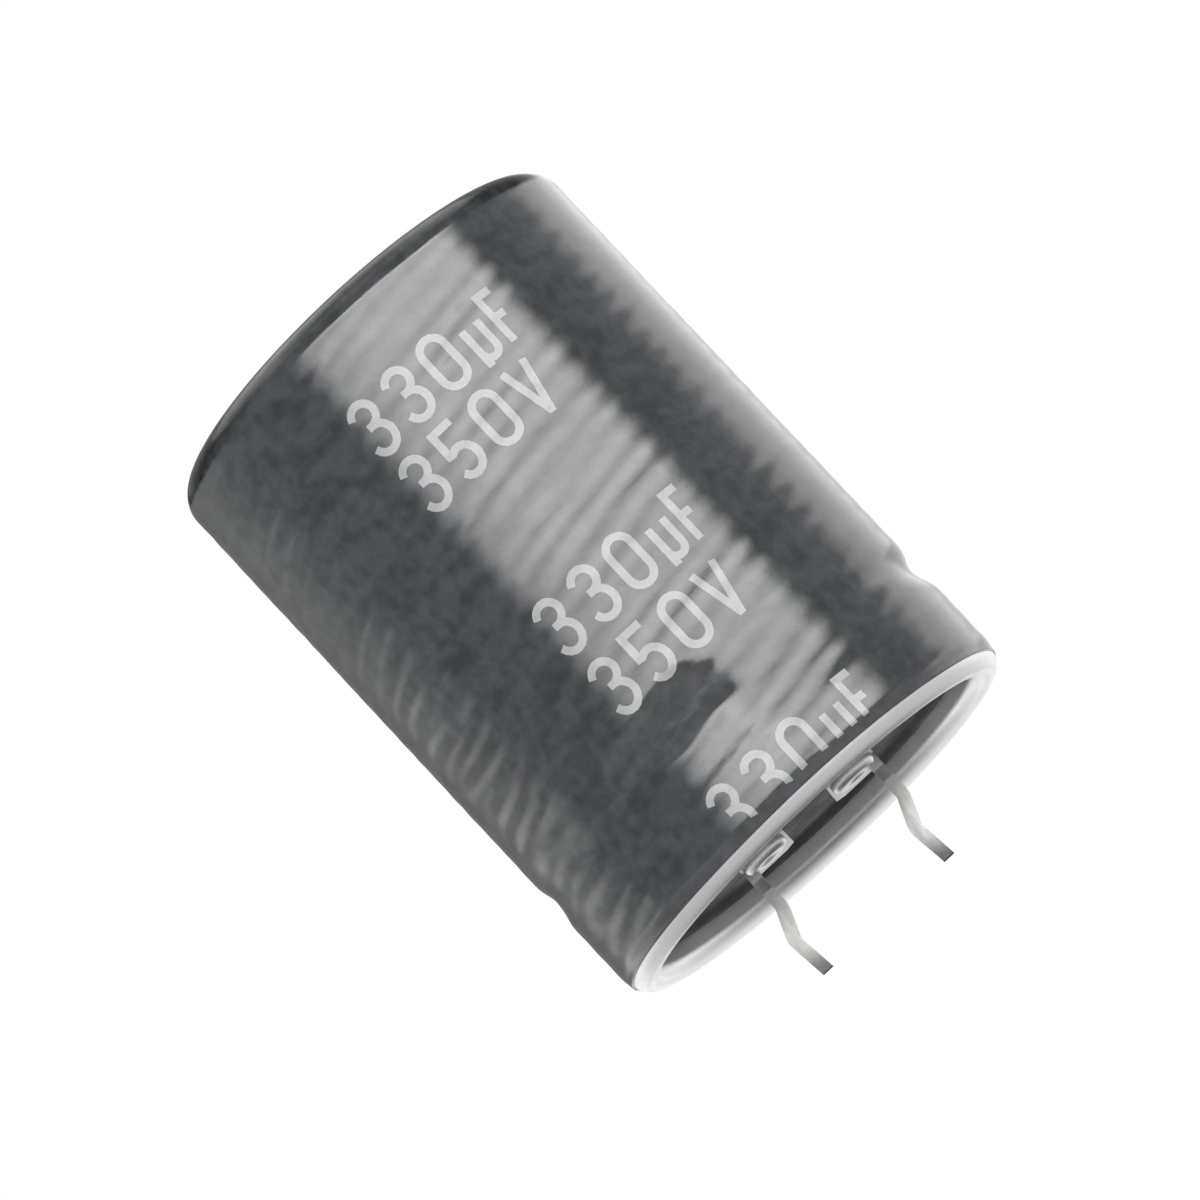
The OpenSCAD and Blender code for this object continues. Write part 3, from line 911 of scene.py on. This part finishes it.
def pale_floor():
    """Pale matt floor under the pins, with an even glow. Mirror rays also see painted light on it: a painted
    glow that whitens it behind the part, and a painted shade that darkens it under the part. It is one-sided:
    the scene's camera looks up from below it."""
    material = bpy.data.materials.new("pale_floor")
    material.use_nodes = True
    tree = material.node_tree
    tree.nodes.clear()
    matt = node(tree, "ShaderNodeBsdfDiffuse", {"Color": FLOOR_GREY}).outputs[0]
    place = place_axes(tree)
    # Painted shade under the part and painted glow behind it, both seen only by mirror rays: a painted shadow
    # and a painted brightening in reflections
    under = between(tree, from_axis(tree, place), 5 * MM, 17 * MM, -FLOOR_GLOW, 0.0)
    behind = between(tree, place[1], -10 * MM, 28 * MM, -0.1, 0.5)
    glossy = node(tree, "ShaderNodeLightPath").outputs["Is Glossy Ray"]
    # Painted reflection light and shade: the mirror rays' glow, less under the part and more behind it
    painted_mirror_glow = maths(tree, "MULTIPLY", glossy, maths(tree, "ADD", under, behind))
    seen = maths(tree, "MULTIPLY", seen_directly(tree), FLOOR_GLOW)
    strength = maths(tree, "MAXIMUM", maths(tree, "ADD", seen, painted_mirror_glow), 0.0)
    glow = node(tree, "ShaderNodeEmission", {"Color": WHITE, "Strength": strength}).outputs[0]
    lit = node(tree, "ShaderNodeAddShader", {0: matt, 1: glow}).outputs[0]
    clear = node(tree, "ShaderNodeBsdfTransparent").outputs[0]
    below = node(tree, "ShaderNodeNewGeometry").outputs["Backfacing"]
    shown = node(tree, "ShaderNodeMixShader", {0: below, 1: lit, 2: clear}).outputs[0]
    node(tree, "ShaderNodeOutputMaterial", {"Surface": shown})
    mesh = bpy.data.meshes.new("pale_floor")
    corners = [[x * FLOOR_REACH * MM, y * FLOOR_REACH * MM, FLOOR_Z * MM]
               for x, y in ((-1, -1), (1, -1), (1, 1), (-1, 1))]
    mesh.from_pydata(corners, [], [(0, 1, 2, 3)])
    mesh.materials.append(material)
    floor = in_scene("pale_floor", mesh)


def studio_world():
    """White all round for the camera, and even soft light. Mirror rays see grey walls that turn white behind
    the part, a wide low lamp panel in front, a panel at the right, a dark screen with a low panel at the
    left, a pale ceiling that is greyer overhead, and a dark strip above the white wall behind. Azimuths and
    heights are in degrees, with azimuth zero at -Y and positive towards +X."""
    world = bpy.data.worlds.new("studio")
    bpy.context.scene.world = world
    world.use_nodes = True
    tree = world.node_tree
    tree.nodes.clear()
    way = node(tree, "ShaderNodeSeparateXYZ",
               {0: node(tree, "ShaderNodeTexCoord").outputs["Generated"]}).outputs
    to_degrees = 360 / TAU
    azimuth = maths(tree, "MULTIPLY", maths(tree, "ARCTAN2", way[0], maths(tree, "MULTIPLY", way[1], -1.0)),
                    to_degrees)
    height = maths(tree, "MULTIPLY", maths(tree, "ARCSINE", way[2]), to_degrees)

    def window(value, low, high, soft):
        """One between low and high, with both edges as wide as `soft`, and zero outside."""
        opened = between(tree, value, low - soft / 2, low + soft / 2)
        closed = between(tree, value, high - soft / 2, high + soft / 2, 1.0, 0.0)
        return maths(tree, "MULTIPLY", opened, closed)

    def panel(sides, heights, strength, lean=0.0):
        """Glowing area between two azimuths and two heights, each pair with its softness. It may lean: its
        azimuths shift by `lean` for each degree under the pivot's height."""
        pivot = 10.0
        below = maths(tree, "SUBTRACT", pivot, height)
        leant = maths(tree, "ADD", azimuth, maths(tree, "MULTIPLY", below, lean))
        area = maths(tree, "MULTIPLY", window(leant, *sides), window(height, *heights))
        return maths(tree, "MULTIPLY", area, strength)

    brighter_up = between(tree, height, 0, 20, 1.85, 5.5, kind="LINEAR")
    dimmer_left = between(tree, azimuth, -26, 4, 0.66, 1.0, kind="LINEAR")
    front = panel(sides=(-28, 65, 14), heights=(3, 19.5, 2.5), lean=0.3,
                  strength=maths(tree, "MULTIPLY", brighter_up, dimmer_left))
    right = panel(sides=(112, 160, 16), heights=(-40, 19, 16), strength=0.84, lean=2.0)
    ceiling = maths(tree, "MULTIPLY", between(tree, height, 46, 62, 0.0, 0.5),
                    between(tree, azimuth, -70, -20, 1.0, 0.5))
    either_side = maths(tree, "ABSOLUTE", azimuth)
    walls = between(tree, either_side, 70, 170, 0.45, 1.0)
    low_left = panel(sides=(-140, -86, 16), heights=(-3, 7.5, 6.5), strength=0.8)
    dark_left = maths(tree, "MULTIPLY", window(height, 3, 19, 5),
                      between(tree, azimuth, -165, -105, 0.75, 0.0))
    dark_back = maths(tree, "MULTIPLY", window(height, 18, 44, 6),
                      between(tree, either_side, 60, 130, 0.0, -0.72))
    overhead = between(tree, height, 62, 76, 1.0, 0.7)
    mirror = maths(tree, "MULTIPLY", maths(tree, "MULTIPLY", walls, overhead),
                   maths(tree, "SUBTRACT", 1.0, dark_left))
    for extra in (front, right, low_left, ceiling, dark_back):
        mirror = maths(tree, "ADD", mirror, extra)
    path = node(tree, "ShaderNodeLightPath").outputs
    glossy = path["Is Glossy Ray"]
    direct = maths(tree, "MAXIMUM", path["Is Camera Ray"], path["Is Transmission Ray"])
    strength = maths(tree, "ADD", maths(tree, "MULTIPLY", glossy, mirror), direct)
    neither = maths(tree, "SUBTRACT", 1.0, maths(tree, "MAXIMUM", glossy, direct))
    strength = maths(tree, "ADD", strength, maths(tree, "MULTIPLY", neither, SOFT_LIGHT))
    light = node(tree, "ShaderNodeBackground", {"Color": WHITE, "Strength": strength}).outputs[0]
    node(tree, "ShaderNodeOutputWorld", {"Surface": light})


def soft_lamp(name, place, size, irradiance):
    """Square lamp that faces the can's middle. The power is irradiance times pi times distance squared."""
    middle = Vector((0, 0, CAN_MIDDLE))
    data = bpy.data.lights.new(name, "AREA")
    data.size = size * MM
    data.energy = irradiance * math.pi * ((Vector(place) - middle).length * MM) ** 2
    lamp = in_scene(name, data)
    lamp.location = Vector(place) * MM
    lamp.rotation_euler = (middle - Vector(place)).to_track_quat("-Z", "Y").to_euler()
    lamp.visible_glossy = False


pale_floor()
studio_world()
soft_lamp("front_lamp", place=(-150, -420, 380), size=320, irradiance=0.95)
soft_lamp("right_lamp", place=(430, 120, 330), size=300, irradiance=0.55)

view = bpy.context.scene.view_settings
view.view_transform = "Standard"
